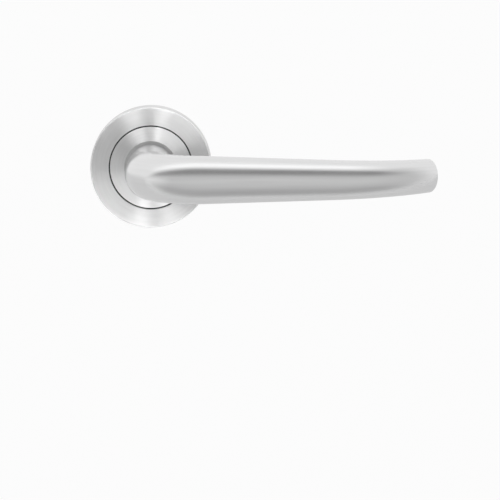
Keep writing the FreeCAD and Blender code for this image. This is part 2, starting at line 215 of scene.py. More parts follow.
def turned_solid(profile, steps=128):
    """A closed solid of revolution about the spindle's axis, from a closed outline of (radius, y)."""
    shape = bmesh.new()
    corners = [shape.verts.new((radius, y, 0.0)) for radius, y in profile]
    edges = [shape.edges.new((corners[i], corners[(i + 1) % len(corners)])) for i in range(len(corners))]
    bmesh.ops.spin(shape, geom=corners + edges, cent=(0, 0, 0), axis=(0, 1, 0), angle=2 * math.pi,
                   steps=steps, use_merge=True)
    bmesh.ops.recalc_face_normals(shape, faces=shape.faces)
    return shape


def edges_at(shape, radius, y):
    """The round edges of a turned solid that have this radius and lie at this y."""
    found = []
    for edge in shape.edges:
        ends = [(abs(math.hypot(v.co.x, v.co.z) - radius), abs(v.co.y - y)) for v in edge.verts]
        if all(off < 1e-6 and away < 1e-6 for off, away in ends):
            found.append(edge)
    return found


def rounded(shape, edges, size, segments):
    """Rounds some edges."""
    bmesh.ops.bevel(shape, geom=edges, affect="EDGES", offset=size, offset_type="OFFSET",
                    segments=segments, profile=0.5, material=-1)


sharp_angle = math.radians(32.0)


def keep_sharp_corners(shape):
    """Marks the edges of a shape whose faces meet at a sharp angle."""
    for edge in shape.edges:
        edge.smooth = edge.calc_face_angle(0.0) < sharp_angle


def finished_piece(name, shape, material):
    """Writes a bmesh to an object: smooth, but with each sharp corner kept."""
    for face in shape.faces:
        face.smooth = True
    keep_sharp_corners(shape)
    mesh = bpy.data.meshes.new(name)
    shape.to_mesh(mesh)
    shape.free()
    mesh.materials.append(material)
    piece = bpy.data.objects.new(name, mesh)
    bpy.context.scene.collection.objects.link(piece)
    return piece


bush_low, bush_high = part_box("neck_bush")
flange_radius = bush_high.x
rose_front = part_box("rose_cover")[0].y
bush_radius = 0.00906
bush_bore = 0.00806
flange_round = 0.0002
nylon_dark = (0.45, 0.45, 0.45)
nylon_light = (0.51, 0.51, 0.51)

bush_nylon, tree, shader = new_material("grey nylon", (0.48, 0.48, 0.48), metallic=0.0, roughness=0.42)
patches = use_group(tree, soft_patches, Vector=object_position(tree),
                    **{"Patch Scale": 300.0, "Speck Scale": 5000.0})
nylon_color = mix_colors(tree, patches.outputs["Patches"], nylon_dark, nylon_light)
connect(tree, nylon_color, shader.inputs["Base Color"])
nylon_gloss = ranged(tree, patches.outputs["Specks"], 0.0, 1.0, to_low=0.36, to_high=0.50)
connect(tree, nylon_gloss, shader.inputs["Roughness"])
bump(tree, shader, patches.outputs["Specks"], strength=0.3, distance=0.00002)

shape = turned_solid([
    (bush_bore, bush_high.y), (bush_radius, bush_high.y), (bush_radius, rose_front),
    (flange_radius, rose_front), (flange_radius, bush_low.y), (bush_bore, bush_low.y)])
rounded(shape, edges_at(shape, flange_radius, bush_low.y), flange_round, segments=4)
neck_bush = finished_piece("neck_bush_turned", shape, bush_nylon)
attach(neck_bush, "rose")
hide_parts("neck_bush")


# ==== Stop pins ====
# Two short pins of bright drawn steel, pressed in holes of the base plate. The drive disc's dog meets one
# of them at each end of the lever's travel.

pin_steel = plain_metal("bright drawn steel", dark=(0.36, 0.36, 0.355), light=(0.50, 0.50, 0.495),
                        rough_low=0.30, rough_high=0.44, patch_scale=220.0, speck_scale=3800.0, depth=0.00002)
finish_node("stop_pins", pin_steel)


# ==== Return spring ====
# Round spring wire wound round the base plate's boss, with a leg in the plate and one in the drive disc.
# It is oil tempered, so it is dark, with a slight brown cast. The lever winds it tighter as it turns.

spring_low, spring_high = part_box("return_spring")
wire_radius = 0.0006
wire_corners = 16
knee_radius = 0.0008
knee_steps = 6
coil_steps = 160
spring_turns = 1.35
plate_leg_clock = math.radians(150.0)
disc_leg_length = 0.0018
plate_leg_length = 0.0016
coil_radius = spring_high.x - wire_radius
coil_start = spring_high.y - disc_leg_length
coil_end = spring_low.y + plate_leg_length
knee_clock = math.atan(knee_radius / coil_radius)
coil_turn = 2 * (math.pi * spring_turns - knee_clock)

spring_steel = plain_metal("tempered spring steel", dark=(0.115, 0.108, 0.10), light=(0.19, 0.18, 0.17),
                           rough_low=0.30, rough_high=0.46, patch_scale=260.0, speck_scale=4200.0,
                           depth=0.00002)


def turned_on_clock(shape, angle):
    """Turns a whole shape clockwise about the spindle's axis, as seen from the room."""
    bmesh.ops.rotate(shape, verts=shape.verts, cent=(0, 0, 0), matrix=Matrix.Rotation(angle, 3, "Y"))


def lengthened(shape, ring, along):
    """Runs a ring of wire straight on, and returns the new end ring."""
    grown = bmesh.ops.extrude_edge_only(shape, edges=ring)["geom"]
    corners = [item for item in grown if isinstance(item, bmesh.types.BMVert)]
    bmesh.ops.translate(shape, verts=corners, vec=along)
    return [item for item in grown if isinstance(item, bmesh.types.BMEdge)]


def wound(shape, ring, centre, axis, angle, steps, lead=0.0):
    """Bends a ring of wire round an axis, moving it along y by the lead, and returns the new end ring."""
    last = bmesh.ops.spin(shape, geom=ring, cent=centre, axis=axis, dvec=(0, lead / steps, 0),
                          angle=angle, steps=steps)["geom_last"]
    return [item for item in last if isinstance(item, bmesh.types.BMEdge)]


shape = bmesh.new()
quarter_turn = math.pi / 2
leg_start = Matrix.Translation((knee_radius, spring_high.y, coil_radius))
bmesh.ops.create_circle(shape, segments=wire_corners, radius=wire_radius,
                        matrix=leg_start @ Matrix.Rotation(quarter_turn, 4, "X"))
ring = lengthened(shape, shape.edges[:], (0, knee_radius - disc_leg_length, 0))
ring = wound(shape, ring, (0, coil_start + knee_radius, 0), (0, 0, 1), -quarter_turn, knee_steps)
ring = wound(shape, ring, (0, 0, 0), (0, 1, 0), -coil_turn, coil_steps, coil_end - coil_start)
turned_on_clock(shape, coil_turn)
ring = wound(shape, ring, (0, coil_end - knee_radius, 0), (0, 0, 1), quarter_turn, knee_steps)
lengthened(shape, ring, (0, knee_radius - plate_leg_length, 0))
turned_on_clock(shape, plate_leg_clock + knee_clock)
bmesh.ops.remove_doubles(shape, verts=shape.verts, dist=1e-7)
bmesh.ops.holes_fill(shape, edges=[edge for edge in shape.edges if edge.is_boundary], sides=0)
bmesh.ops.recalc_face_normals(shape, faces=shape.faces)
return_spring = finished_piece("return_spring_wound", shape, spring_steel)
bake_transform(return_spring)
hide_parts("return_spring")


# ==== Slide washer ====
# A thin washer of the bush's grey nylon, stamped from sheet. It lies between the base plate's boss and the
# drive disc, so that steel doesn't rub on zinc.

finish_node("slide_washer", bush_nylon)


# ==== Drive disc ====
# A disc pressed from zinc flashed steel sheet and keyed on the flats of the lever's journal. It winds the
# spring, and the dog on its edge stops at the pins.

pressed_steel = plain_metal("zinc flashed steel sheet", dark=(0.40, 0.41, 0.425), light=(0.56, 0.565, 0.575),
                            rough_low=0.30, rough_high=0.46, patch_scale=170.0, speck_scale=3000.0,
                            depth=0.00003)
finish_node("drive_disc", pressed_steel)


# ==== Lever handle ====
# The lever is one casting of stainless steel: neck, elbow and bar, with the journal that turns in the rose.
# Its outside is ground and then brushed satin along its length, with soft fine scratches that run round the
# elbow. The journal has flats for the drive disc, a circlip groove and a square socket for the spindle.

neck_radius = 0.0103
neck_start = 0.01065
neck_rim_round = 0.0004
bar_out = 0.0565
elbow_radius = 0.022
lever_reach = 0.1181
return_start = 0.076
return_radius = 0.062
root_half_height = 0.0101
root_half_depth = 0.0082
tip_half_height = 0.0071
tip_half_depth = 0.0054
tip_rim_round = 0.0009
journal_radius = 0.008
journal_end = 0.0005
groove_radius = 0.0075
groove_near = 0.00105
groove_far = 0.00215
flats_end = 0.00425
flat_height = 0.00725
socket_size = 0.0081
socket_end = 0.025
screw_radius = 0.00252
screw_out = 0.018
screw_hole_top = -0.003
ring_points = 96
stations = 88

elbow_from = bar_out - elbow_radius - neck_start
bar_from = elbow_from + elbow_radius * math.pi / 2
return_from = bar_from + return_start - elbow_radius
tip_from = return_from + return_radius * math.asin((lever_reach - return_start) / return_radius)


def lever_section(distance):
    """The place, turn and size of the lever's section at a distance along it, as one matrix."""
    if distance < elbow_from:
        x, out, heading = 0.0, neck_start + distance, 0.0
    elif distance < bar_from:
        heading = (distance - elbow_from) / elbow_radius
        x = elbow_radius * (1 - math.cos(heading))
        out = bar_out - elbow_radius + elbow_radius * math.sin(heading)
    elif distance < return_from:
        x, out, heading = elbow_radius + distance - bar_from, bar_out, math.pi / 2
    else:
        turned = (distance - return_from) / return_radius
        x = return_start + return_radius * math.sin(turned)
        out = bar_out - return_radius * (1 - math.cos(turned))
        heading = math.pi / 2 + turned
    share = max(x - elbow_radius, 0.0) / (lever_reach - elbow_radius)
    through = min(heading / (math.pi / 2), 1.0)
    blend = through ** 2 * (3 - 2 * through)
    bar_half_height = root_half_height + (tip_half_height - root_half_height) * share
    bar_half_depth = root_half_depth + (tip_half_depth - root_half_depth) * share
    half_height = neck_radius + (bar_half_height - neck_radius) * blend
    half_depth = neck_radius + (bar_half_depth - neck_radius) * blend
    up = Vector((0, 0, half_height))
    across = Vector((-math.cos(heading), -math.sin(heading), 0)) * half_depth
    along = Vector((math.sin(heading), -math.cos(heading), 0))
    section = Matrix((up, across, along)).transposed().to_4x4()
    section.translation = (x, -out, 0)
    return section


def round_section(radius, out):
    """A round section of the journal, as a matrix."""
    section = Matrix(((0, 0, radius), (-radius, 0, 0), (0, -1, 0))).transposed().to_4x4()
    section.translation = (0, -out, 0)
    return section


def swept_lever():
    """A ring of points drawn along the journal, the neck, the elbow and the bar, with a lengthwise UV map."""
    sections = [(out - neck_start, round_section(radius, out)) for radius, out in (
        (journal_radius, journal_end), (journal_radius, groove_near), (groove_radius, groove_near),
        (groove_radius, groove_far), (journal_radius, groove_far), (journal_radius, neck_start))]
    for step in range(stations + 1):
        distance = tip_from * step / stations
        sections.append((distance, lever_section(distance)))
    shape = bmesh.new()
    ring = bmesh.ops.create_circle(shape, radius=1.0, segments=ring_points)["verts"]
    places = {}
    for number, vertex in enumerate(ring):
        places[vertex] = (sections[0][0], number)
    bmesh.ops.transform(shape, matrix=sections[0][1], verts=ring)
    edges = list(shape.edges)
    near_cap = list(ring)
    for (_, before), (distance, section) in zip(sections, sections[1:]):
        numbers = {tuple(vertex.co): places[vertex][1] for edge in edges for vertex in edge.verts}
        made = bmesh.ops.extrude_edge_only(shape, edges=edges)["geom"]
        ring = [item for item in made if isinstance(item, bmesh.types.BMVert)]
        edges = [item for item in made if isinstance(item, bmesh.types.BMEdge)
                 and all(vertex in ring for vertex in item.verts)]
        for vertex in ring:
            places[vertex] = (distance, numbers[tuple(vertex.co)])
        bmesh.ops.transform(shape, matrix=section @ before.inverted(), verts=ring)
    caps = (bmesh.ops.contextual_create(shape, geom=near_cap)["faces"]
            + bmesh.ops.contextual_create(shape, geom=edges)["faces"])
    bmesh.ops.recalc_face_normals(shape, faces=shape.faces)
    lengthwise = shape.loops.layers.uv.new("lengthwise")
    girth = 2 * math.pi * neck_radius
    for face in shape.faces:
        if face in caps:
            continue
        numbers = [places[loop.vert][1] for loop in face.loops]
        wraps = max(numbers) - min(numbers) > ring_points / 2
        for loop, number in zip(face.loops, numbers):
            if wraps and number == 0:
                number = ring_points
            loop[lengthwise].uv = (places[loop.vert][0], girth * number / ring_points)
    return shape, edges


shape, tip_edges = swept_lever()
rounded(shape, tip_edges, tip_rim_round, segments=6)
neck_edges = [edge for edge in shape.edges
              if all(abs(vertex.co.y + neck_start) < 1e-7 and vertex.co.xz.length > neck_radius - 1e-6
                     for vertex in edge.verts)]
rounded(shape, neck_edges, neck_rim_round, segments=4)


def make_grain_group():
    """Fine brushed scratches along the first coordinate, with broader bands where the belt pressed more."""
    group, entry, leave = make_group(
        "brushed grain",
        [("Vector", "NodeSocketVector", None), ("Scratch Length", "NodeSocketFloat", 0.02),
         ("Scratch Width", "NodeSocketFloat", 0.00012)],
        [("Scratches", "NodeSocketFloat"), ("Bands", "NodeSocketFloat")])
    split = group.nodes.new("ShaderNodeSeparateXYZ")
    connect(group, entry.outputs["Vector"], split.inputs[0])
    for output, longer, wider, detail, low, high in (("Scratches", 1.0, 1.0, 3.0, 0.25, 0.75),
                                                     ("Bands", 2.2, 9.0, 2.0, 0.3, 0.7)):
        join = group.nodes.new("ShaderNodeCombineXYZ")
        length = math_node(group, "MULTIPLY", entry.outputs["Scratch Length"], longer)
        width = math_node(group, "MULTIPLY", entry.outputs["Scratch Width"], wider)
        connect(group, math_node(group, "DIVIDE", split.outputs[0], length), join.inputs[0])
        connect(group, math_node(group, "DIVIDE", split.outputs[1], width), join.inputs[1])
        connect(group, math_node(group, "DIVIDE", split.outputs[2], width), join.inputs[2])
        value = noise(group, join.outputs[0], 1.0, detail)
        connect(group, ranged(group, value, low, high), leave.inputs[output])
    return group


brushed_grain = make_grain_group()

steel_dark = (0.725, 0.725, 0.727)
steel_light = (0.755, 0.755, 0.757)
satin_steel, tree, shader = new_material("satin stainless steel", (0.74, 0.74, 0.74),
                                         metallic=1.0, roughness=0.27)
shader.inputs["Anisotropic"].default_value = 0.5
shader.inputs["Anisotropic Rotation"].default_value = 0.25
lengthwise_map = add_node(tree, "ShaderNodeUVMap", "lengthwise", uv_map="lengthwise")
grain = use_group(tree, brushed_grain, Vector=lengthwise_map.outputs[0],
                  **{"Scratch Length": 0.016, "Scratch Width": 0.00016})
patches = use_group(tree, soft_patches, Vector=object_position(tree),
                    **{"Patch Scale": 70.0, "Speck Scale": 900.0})
steel_color = mix_colors(tree, grain.outputs["Bands"], steel_dark, steel_light)
connect(tree, steel_color, shader.inputs["Base Color"])
scratch_gloss = ranged(tree, grain.outputs["Scratches"], 0.0, 1.0, to_low=0.235, to_high=0.265)
handling_gloss = ranged(tree, patches.outputs["Patches"], 0.0, 1.0, to_low=-0.012, to_high=0.012)
connect(tree, math_node(tree, "ADD", scratch_gloss, handling_gloss), shader.inputs["Roughness"])
bump(tree, shader, grain.outputs["Scratches"], strength=0.08, distance=0.00001)
lever_tangent = add_node(tree, "ShaderNodeTangent", direction_type="UV_MAP", uv_map="lengthwise")
connect(tree, lever_tangent.outputs[0], shader.inputs["Tangent"])

lever = finished_piece("lever_brushed", shape, satin_steel)


def cut_from(piece, cutter_shape):
    """Cuts a closed shape out of a piece for good."""
    mesh = bpy.data.meshes.new("cutter")
    cutter_shape.to_mesh(mesh)
    cutter_shape.free()
    cutter = bpy.data.objects.new("cutter", mesh)
    bpy.context.scene.collection.objects.link(cutter)
    modifier = piece.modifiers.new("cut", "BOOLEAN")
    modifier.operation = "DIFFERENCE"
    modifier.solver = "EXACT"
    modifier.object = cutter
    bpy.context.view_layer.update()
    done = bpy.data.meshes.new_from_object(piece.evaluated_get(bpy.context.evaluated_depsgraph_get()))
    piece.modifiers.clear()
    piece.data = done
    bpy.data.objects.remove(cutter)
    shape = bmesh.new()
    shape.from_mesh(done)
    keep_sharp_corners(shape)
    shape.to_mesh(done)
    shape.free()


def add_block(shape, low, high):
    """A box between two corners."""
    size = Vector(high) - Vector(low)
    middle = (Vector(high) + Vector(low)) / 2
    place = Matrix.Translation(middle) @ Matrix.Diagonal((*size, 1.0))
    bmesh.ops.create_cube(shape, size=1.0, matrix=place)


cutters = bmesh.new()
half_socket = socket_size / 2
add_block(cutters, (-half_socket, -socket_end, -half_socket), (half_socket, 0.0, half_socket))
for low, high in ((flat_height, 2 * journal_radius), (-2 * journal_radius, -flat_height)):
    add_block(cutters, (-2 * journal_radius, -flats_end, low), (2 * journal_radius, 0.0, high))
screw_hole = Matrix.Translation((0, -screw_out, screw_hole_top - neck_radius))
bmesh.ops.create_cone(cutters, cap_ends=True, segments=48, radius1=screw_radius, radius2=screw_radius,
                      depth=2 * neck_radius, matrix=screw_hole)
cut_from(lever, cutters)
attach(lever, "lever")
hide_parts("lever_handle")


# ==== Thrust washer, disc spring and circlip ====
# The lever is held in the rose by a circlip in the journal's groove. A disc spring takes up the play and
# presses on a flat zinc plated washer. The disc spring is tempered, and the circlip has a black oxide skin.

zinc_plated = plain_metal("zinc plated steel", dark=(0.50, 0.51, 0.53), light=(0.60, 0.61, 0.63),
                          rough_low=0.28, rough_high=0.38, patch_scale=420.0, speck_scale=4200.0,
                          depth=0.00001)
finish_node("thrust_washer", zinc_plated)
finish_node("disc_spring", spring_steel)
black_oxide = plain_metal("black oxide steel", dark=(0.022, 0.022, 0.024), light=(0.050, 0.050, 0.053),
                          rough_low=0.30, rough_high=0.48, patch_scale=300.0, speck_scale=4000.0,
                          depth=0.00002, metallic=0.85)
finish_node("circlip", black_oxide)


# ==== Cassette plate and its screws ====
# A thin plate of the same pressed steel closes the spring chamber from behind. Three small zinc plated
# screws, countersunk and slotted, hold it to the base plate.

finish_node("cassette_plate", pressed_steel)
finish_node("plate_screws", zinc_plated)


# ==== Spindle and grub screw ====
# The square bar that turns the latch is drawn steel with bevelled edges, and its draw lines run along it.
# The black socket screw under the neck is tightened on it.

spindle_dark = (0.42, 0.42, 0.415)
spindle_light = (0.54, 0.54, 0.535)
drawn_steel, tree, shader = new_material("drawn spindle steel", (0.50, 0.50, 0.495),
                                         metallic=1.0, roughness=0.3)
turned_position = add_node(tree, "ShaderNodeMapping", "draw lines along the bar")
turned_position.inputs["Rotation"].default_value = (0.0, 0.0, math.pi / 2)
connect(tree, object_position(tree), turned_position.inputs["Vector"])
grain = use_group(tree, brushed_grain, Vector=turned_position.outputs[0],
                  **{"Scratch Length": 0.03, "Scratch Width": 0.0002})
spindle_color = mix_colors(tree, grain.outputs["Bands"], spindle_dark, spindle_light)
connect(tree, spindle_color, shader.inputs["Base Color"])
spindle_gloss = ranged(tree, grain.outputs["Scratches"], 0.0, 1.0, to_low=0.26, to_high=0.42)
connect(tree, spindle_gloss, shader.inputs["Roughness"])
bump(tree, shader, grain.outputs["Scratches"], strength=0.3, distance=0.00001)
finish_node("spindle", drawn_steel)
finish_node("spindle_grub_screw", black_oxide)


# ==== Fixing bolts and washers ====
# Two M4 bolts of zinc plated steel go through the base plate's lugs and the door into sleeves of the rose on
# the other side. Their thread is rolled, and starts past the lugs. Head and washer are sunk in the plate.

bolts_low, bolts_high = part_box("fixing_bolts")
bolt_head_radius = 0.0035
bolt_head_near = -0.0056
bolt_head_round = 0.0007
bolt_x = bolts_high.x - bolt_head_radius
shank_radius = 0.00175
thread_start = 0.008
thread_radius = 0.002
thread_root_radius = 0.00157
thread_pitch = 0.0007
recess_length = 0.0042
recess_width = 0.0009
recess_depth = 0.0015
recess_overrun = 0.001


def add_thread(shape, radius, root_radius, pitch, start, end, steps=24):
    """A threaded rod along y: one tooth's outline spun round the axis, cut off square at both ends."""
    outline = ((root_radius, 0.0), (root_radius, 0.12), (radius, 0.44), (radius, 0.56),
               (root_radius, 0.88), (root_radius, 1.0))
    turns = math.ceil((end - start) / pitch) + 2
    corners = [shape.verts.new((r, start + (share - 2) * pitch, 0.0)) for r, share in outline]
    edges = [shape.edges.new(pair) for pair in zip(corners, corners[1:])]
    bmesh.ops.spin(shape, geom=corners + edges, cent=(0, 0, 0), axis=(0, 1, 0),
                   dvec=(0, pitch / steps, 0), angle=2 * math.pi * turns, steps=steps * turns)
    bmesh.ops.remove_doubles(shape, verts=shape.verts, dist=pitch * 0.01)
    for place, direction in ((start, -1), (end, 1)):
        bmesh.ops.bisect_plane(shape, geom=shape.verts[:] + shape.edges[:] + shape.faces[:], dist=1e-8,
                               plane_co=(0, place, 0), plane_no=(0, direction, 0), clear_outer=True)
    open_edges = [edge for edge in shape.edges if edge.is_boundary]
    bmesh.ops.holes_fill(shape, edges=open_edges, sides=0)
    bmesh.ops.recalc_face_normals(shape, faces=shape.faces)


def bolt_shape():
    """The head and plain shank of one bolt, on the spindle's axis. The shank runs just into the thread."""
    body = bmesh.new()
    shank_end = thread_start + thread_pitch / 4
    outline = [(0.0, bolts_low.y), (bolt_head_radius, bolts_low.y), (bolt_head_radius, bolt_head_near),
               (shank_radius, bolt_head_near), (shank_radius, shank_end), (0.0, shank_end)]
    corners = [body.verts.new((radius, y, 0.0)) for radius, y in outline]
    edges = [body.edges.new(pair) for pair in zip(corners, corners[1:])]
    bmesh.ops.spin(body, geom=corners + edges, cent=(0, 0, 0), axis=(0, 1, 0), angle=2 * math.pi,
                   steps=48, use_merge=True)
    bmesh.ops.remove_doubles(body, verts=body.verts, dist=1e-7)
    bmesh.ops.recalc_face_normals(body, faces=body.faces)
    rounded(body, edges_at(body, bolt_head_radius, bolts_low.y), bolt_head_round, segments=4)
    return body


thread = bmesh.new()
add_thread(thread, thread_radius, thread_root_radius, thread_pitch, thread_start, bolts_high.y)
thread_mesh = bpy.data.meshes.new("thread")
thread.to_mesh(thread_mesh)
thread.free()
head_piece = finished_piece("bolt_head", bolt_shape(), zinc_plated)
recess = bmesh.new()
for width, height in ((recess_length, recess_width), (recess_width, recess_length)):
    add_block(recess, (-width / 2, bolts_low.y - recess_overrun, -height / 2),
              (width / 2, bolts_low.y + recess_depth, height / 2))
cut_from(head_piece, recess)
both_bolts = bmesh.new()
for side in (-1, 1):
    for source in (head_piece.data, thread_mesh):
        before = set(both_bolts.verts)
        both_bolts.from_mesh(source)
        fresh = [vertex for vertex in both_bolts.verts if vertex not in before]
        bmesh.ops.translate(both_bolts, vec=(side * bolt_x, 0, 0), verts=fresh)
bpy.data.objects.remove(head_piece)
fixing_bolts = finished_piece("fixing_bolts_threaded", both_bolts, zinc_plated)
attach(fixing_bolts, "rose")
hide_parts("fixing_bolts")
finish_node("bolt_washers", zinc_plated)


# ==== Inner disc and seam ring ====
# The face of the rose is made of two parts. A flat stainless disc lies round the neck, and a dark sealing
# ring, a little below the face, fills the gap between it and the cover. Both steel faces are brushed in
# circles about the neck.

disc_low, disc_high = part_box("rose_inner_disc")
disc_radius = disc_high.x
disc_bore = bush_radius + 0.0001
face_edge_round = 0.00015
band_contrast = 0.02


def make_ring_group():
    """Fine scratches in circles about the spindle's axis, and broader bands of the same run."""
    group, entry, leave = make_group(
        "round the axis",
        [("Vector", "NodeSocketVector", None), ("Ring Width", "NodeSocketFloat", 0.00012),
         ("Scratch Angle", "NodeSocketFloat", 0.5)],
        [("Rings", "NodeSocketFloat"), ("Bands", "NodeSocketFloat")])
    split = group.nodes.new("ShaderNodeSeparateXYZ")
    connect(group, entry.outputs["Vector"], split.inputs[0])
    squares = [math_node(group, "MULTIPLY", split.outputs[axis], split.outputs[axis]) for axis in (0, 2)]
    radius = math_node(group, "SQRT", math_node(group, "ADD", squares[0], squares[1]))
    safe_radius = math_node(group, "MAXIMUM", radius, 0.0001)
    for output, wider, longer, low, high in (("Rings", 1.0, 1.0, 0.25, 0.75), ("Bands", 7.0, 2.0, 0.3, 0.7)):
        join = group.nodes.new("ShaderNodeCombineXYZ")
        width = math_node(group, "MULTIPLY", entry.outputs["Ring Width"], wider)
        angle = math_node(group, "MULTIPLY", entry.outputs["Scratch Angle"], longer)
        connect(group, math_node(group, "DIVIDE", radius, width), join.inputs[0])
        for socket, axis in ((1, 0), (2, 2)):
            direction = math_node(group, "DIVIDE", split.outputs[axis], safe_radius)
            connect(group, math_node(group, "DIVIDE", direction, angle), join.inputs[socket])
        value = noise(group, join.outputs[0], 1.0, 3.0)
        connect(group, ranged(group, value, low, high), leave.inputs[output])
    return group


round_the_axis = make_ring_group()


def brushed_round(name, level, anisotropic, rough_low, rough_high):
    """Stainless steel brushed in circles about the neck, with soft bands of more and less gloss."""
    material, tree, shader = new_material(name, (level, level, level), 1.0, rough_low)
    shader.inputs["Anisotropic"].default_value = anisotropic
    shader.inputs["Anisotropic Rotation"].default_value = 0.25
    rings = use_group(tree, round_the_axis, Vector=object_position(tree),
                      **{"Ring Width": 0.00011, "Scratch Angle": 0.35})
    color = mix_colors(tree, rings.outputs["Bands"], [level - band_contrast] * 3, [level + band_contrast] * 3)
    connect(tree, color, shader.inputs["Base Color"])
    gloss = ranged(tree, rings.outputs["Rings"], 0.0, 1.0, to_low=rough_low, to_high=rough_high)
    connect(tree, gloss, shader.inputs["Roughness"])
    bump(tree, shader, rings.outputs["Rings"], strength=0.15, distance=0.00001)
    tangent = add_node(tree, "ShaderNodeTangent", direction_type="RADIAL", axis="Y")
    connect(tree, tangent.outputs[0], shader.inputs["Tangent"])
    return material


rose_steel = brushed_round("circular brushed stainless steel", level=0.81, anisotropic=0.98,
                           rough_low=0.47, rough_high=0.55)

shape = turned_solid([(disc_bore, disc_low.y), (disc_radius, disc_low.y), (disc_radius, disc_high.y),
                      (disc_bore, disc_high.y)])
rounded(shape, edges_at(shape, disc_radius, disc_low.y), face_edge_round, segments=4)
inner_disc = finished_piece("rose_inner_disc_brushed", shape, rose_steel)
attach(inner_disc, "rose")
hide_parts("rose_inner_disc")

seam_low, seam_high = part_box("seam_ring")
seam_radius = seam_high.x
seam_dark = (0.014, 0.014, 0.015)
seam_light = (0.028, 0.028, 0.029)
seam_black, tree, shader = new_material("dark sealing ring", (0.02, 0.02, 0.021), metallic=0.0, roughness=0.5)
patches = use_group(tree, soft_patches, Vector=object_position(tree),
                    **{"Patch Scale": 400.0, "Speck Scale": 6000.0})
seam_color = mix_colors(tree, patches.outputs["Patches"], seam_dark, seam_light)
connect(tree, seam_color, shader.inputs["Base Color"])
seam_gloss = ranged(tree, patches.outputs["Specks"], 0.0, 1.0, to_low=0.45, to_high=0.62)
connect(tree, seam_gloss, shader.inputs["Roughness"])
bump(tree, shader, patches.outputs["Specks"], strength=0.4, distance=0.00002)
shape = turned_solid([(disc_radius, seam_low.y), (seam_radius, seam_low.y), (seam_radius, seam_high.y),
                      (disc_radius, seam_high.y)])
seam_ring = finished_piece("seam_ring_dark", shape, seam_black)
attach(seam_ring, "rose")
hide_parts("seam_ring")


# ==== Snap ring and cover ====
# The cover is a pressed shell of stainless steel with a softly rounded front edge, brushed in circles on its
# face and duller on its side. The side and the rounded edge are rougher, and their colour is also painted
# darker as painted shade, which dims the lamps' highlight there. It is pushed over the base plate, where an
# open wire ring grips it from inside.

finish_node("cover_snap_ring", spring_steel)

cover_low, cover_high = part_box("rose_cover")
cover_radius = cover_high.x
cover_wall = 0.001
face_thickness = 0.0012
cover_bore = cover_radius - cover_wall
cover_face_back = cover_low.y + face_thickness
cover_edge_round = 0.0006
flat_face_slope = 0.985
snap_groove_depth = 0.0001
snap_groove_radius = cover_bore + snap_groove_depth
snap_groove_near = -0.0034
snap_groove_far = -0.0046

shape = turned_solid([
    (seam_radius, cover_low.y), (cover_radius, cover_low.y), (cover_radius, cover_high.y),
    (cover_bore, cover_high.y), (cover_bore, snap_groove_near), (snap_groove_radius, snap_groove_near),
    (snap_groove_radius, snap_groove_far), (cover_bore, snap_groove_far), (cover_bore, cover_face_back),
    (seam_radius, cover_face_back)])
rounded(shape, edges_at(shape, cover_radius, cover_low.y), cover_edge_round, segments=6)
rounded(shape, edges_at(shape, seam_radius, cover_low.y), face_edge_round, segments=4)
# Faces that don't look straight out into the room, the side and the rounded edge, take the second slot. That
# slot is the darker, painted-shade copy of the steel.
for face in shape.faces:
    face.material_index = 0 if abs(face.normal.y) > flat_face_slope else 1
# Painted shade: the same stainless steel in a darker colour (0.64 against 0.81 on the face) dims the rim's
# bright highlight. Only its rougher, less anisotropic finish is real.
rim_steel_painted_darker = brushed_round("brushed stainless rim painted darker", level=0.64, anisotropic=0.3,
                          rough_low=0.50, rough_high=0.58)
cover = finished_piece("rose_cover_brushed", shape, rose_steel)
cover.data.materials.append(rim_steel_painted_darker)
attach(cover, "rose")
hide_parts("rose_cover")


# ==== Studio ====
# A pale floor well below the handle, and a white surround. Six soft lamps in a ring draw the light and dark
# rays of the brushed rose, which they alone light. The camera stands straight in front, a little above.

floor_height = -0.25
floor_front = -0.16
floor_fades_from = -0.04
floor_size = 40.0
floor_dark = (0.71, 0.71, 0.71)
floor_light = (0.73, 0.73, 0.73)
floor_shown_white = 0.92
floor_mirrored_white = 0.35

floor_paint, tree, shader = new_material("pale floor", (0.72, 0.72, 0.72), metallic=0.0, roughness=0.7)
patches = use_group(tree, soft_patches, Vector=object_position(tree),
                    **{"Patch Scale": 3.0, "Speck Scale": 60.0})
floor_color = mix_colors(tree, patches.outputs["Patches"], floor_dark, floor_light)
connect(tree, floor_color, shader.inputs["Base Color"])
bump(tree, shader, patches.outputs["Specks"], strength=0.1, distance=0.0005)
white_glow = tree.nodes.new("ShaderNodeEmission")
clear_back = tree.nodes.new("ShaderNodeBsdfTransparent")
paint_or_glow = tree.nodes.new("ShaderNodeMixShader")
front_or_back = tree.nodes.new("ShaderNodeMixShader")
ray = tree.nodes.new("ShaderNodeLightPath")
side = tree.nodes.new("ShaderNodeNewGeometry")
mirrored = math_node(tree, "MULTIPLY", ray.outputs["Is Glossy Ray"], floor_mirrored_white)
seen = math_node(tree, "ADD", ray.outputs["Is Camera Ray"], ray.outputs["Is Transmission Ray"])
seen = math_node(tree, "MULTIPLY", seen, floor_shown_white)
connect(tree, math_node(tree, "ADD", seen, mirrored), paint_or_glow.inputs[0])
connect(tree, shader.outputs[0], paint_or_glow.inputs[1])
connect(tree, white_glow.outputs[0], paint_or_glow.inputs[2])
place = tree.nodes.new("ShaderNodeSeparateXYZ")
connect(tree, object_position(tree), place.inputs[0])
fade = ranged(tree, place.outputs[1], floor_fades_from, floor_front)
connect(tree, math_node(tree, "MAXIMUM", side.outputs["Backfacing"], fade), front_or_back.inputs[0])
connect(tree, paint_or_glow.outputs[0], front_or_back.inputs[1])
connect(tree, clear_back.outputs[0], front_or_back.inputs[2])
connect(tree, front_or_back.outputs[0], tree.nodes["Material Output"].inputs["Surface"])

shape = bmesh.new()
floor_place = Matrix.Translation((0, floor_front + floor_size / 2, floor_height))
bmesh.ops.create_grid(shape, x_segments=1, y_segments=1, size=floor_size / 2, matrix=floor_place)
floor = finished_piece("floor", shape, floor_paint)

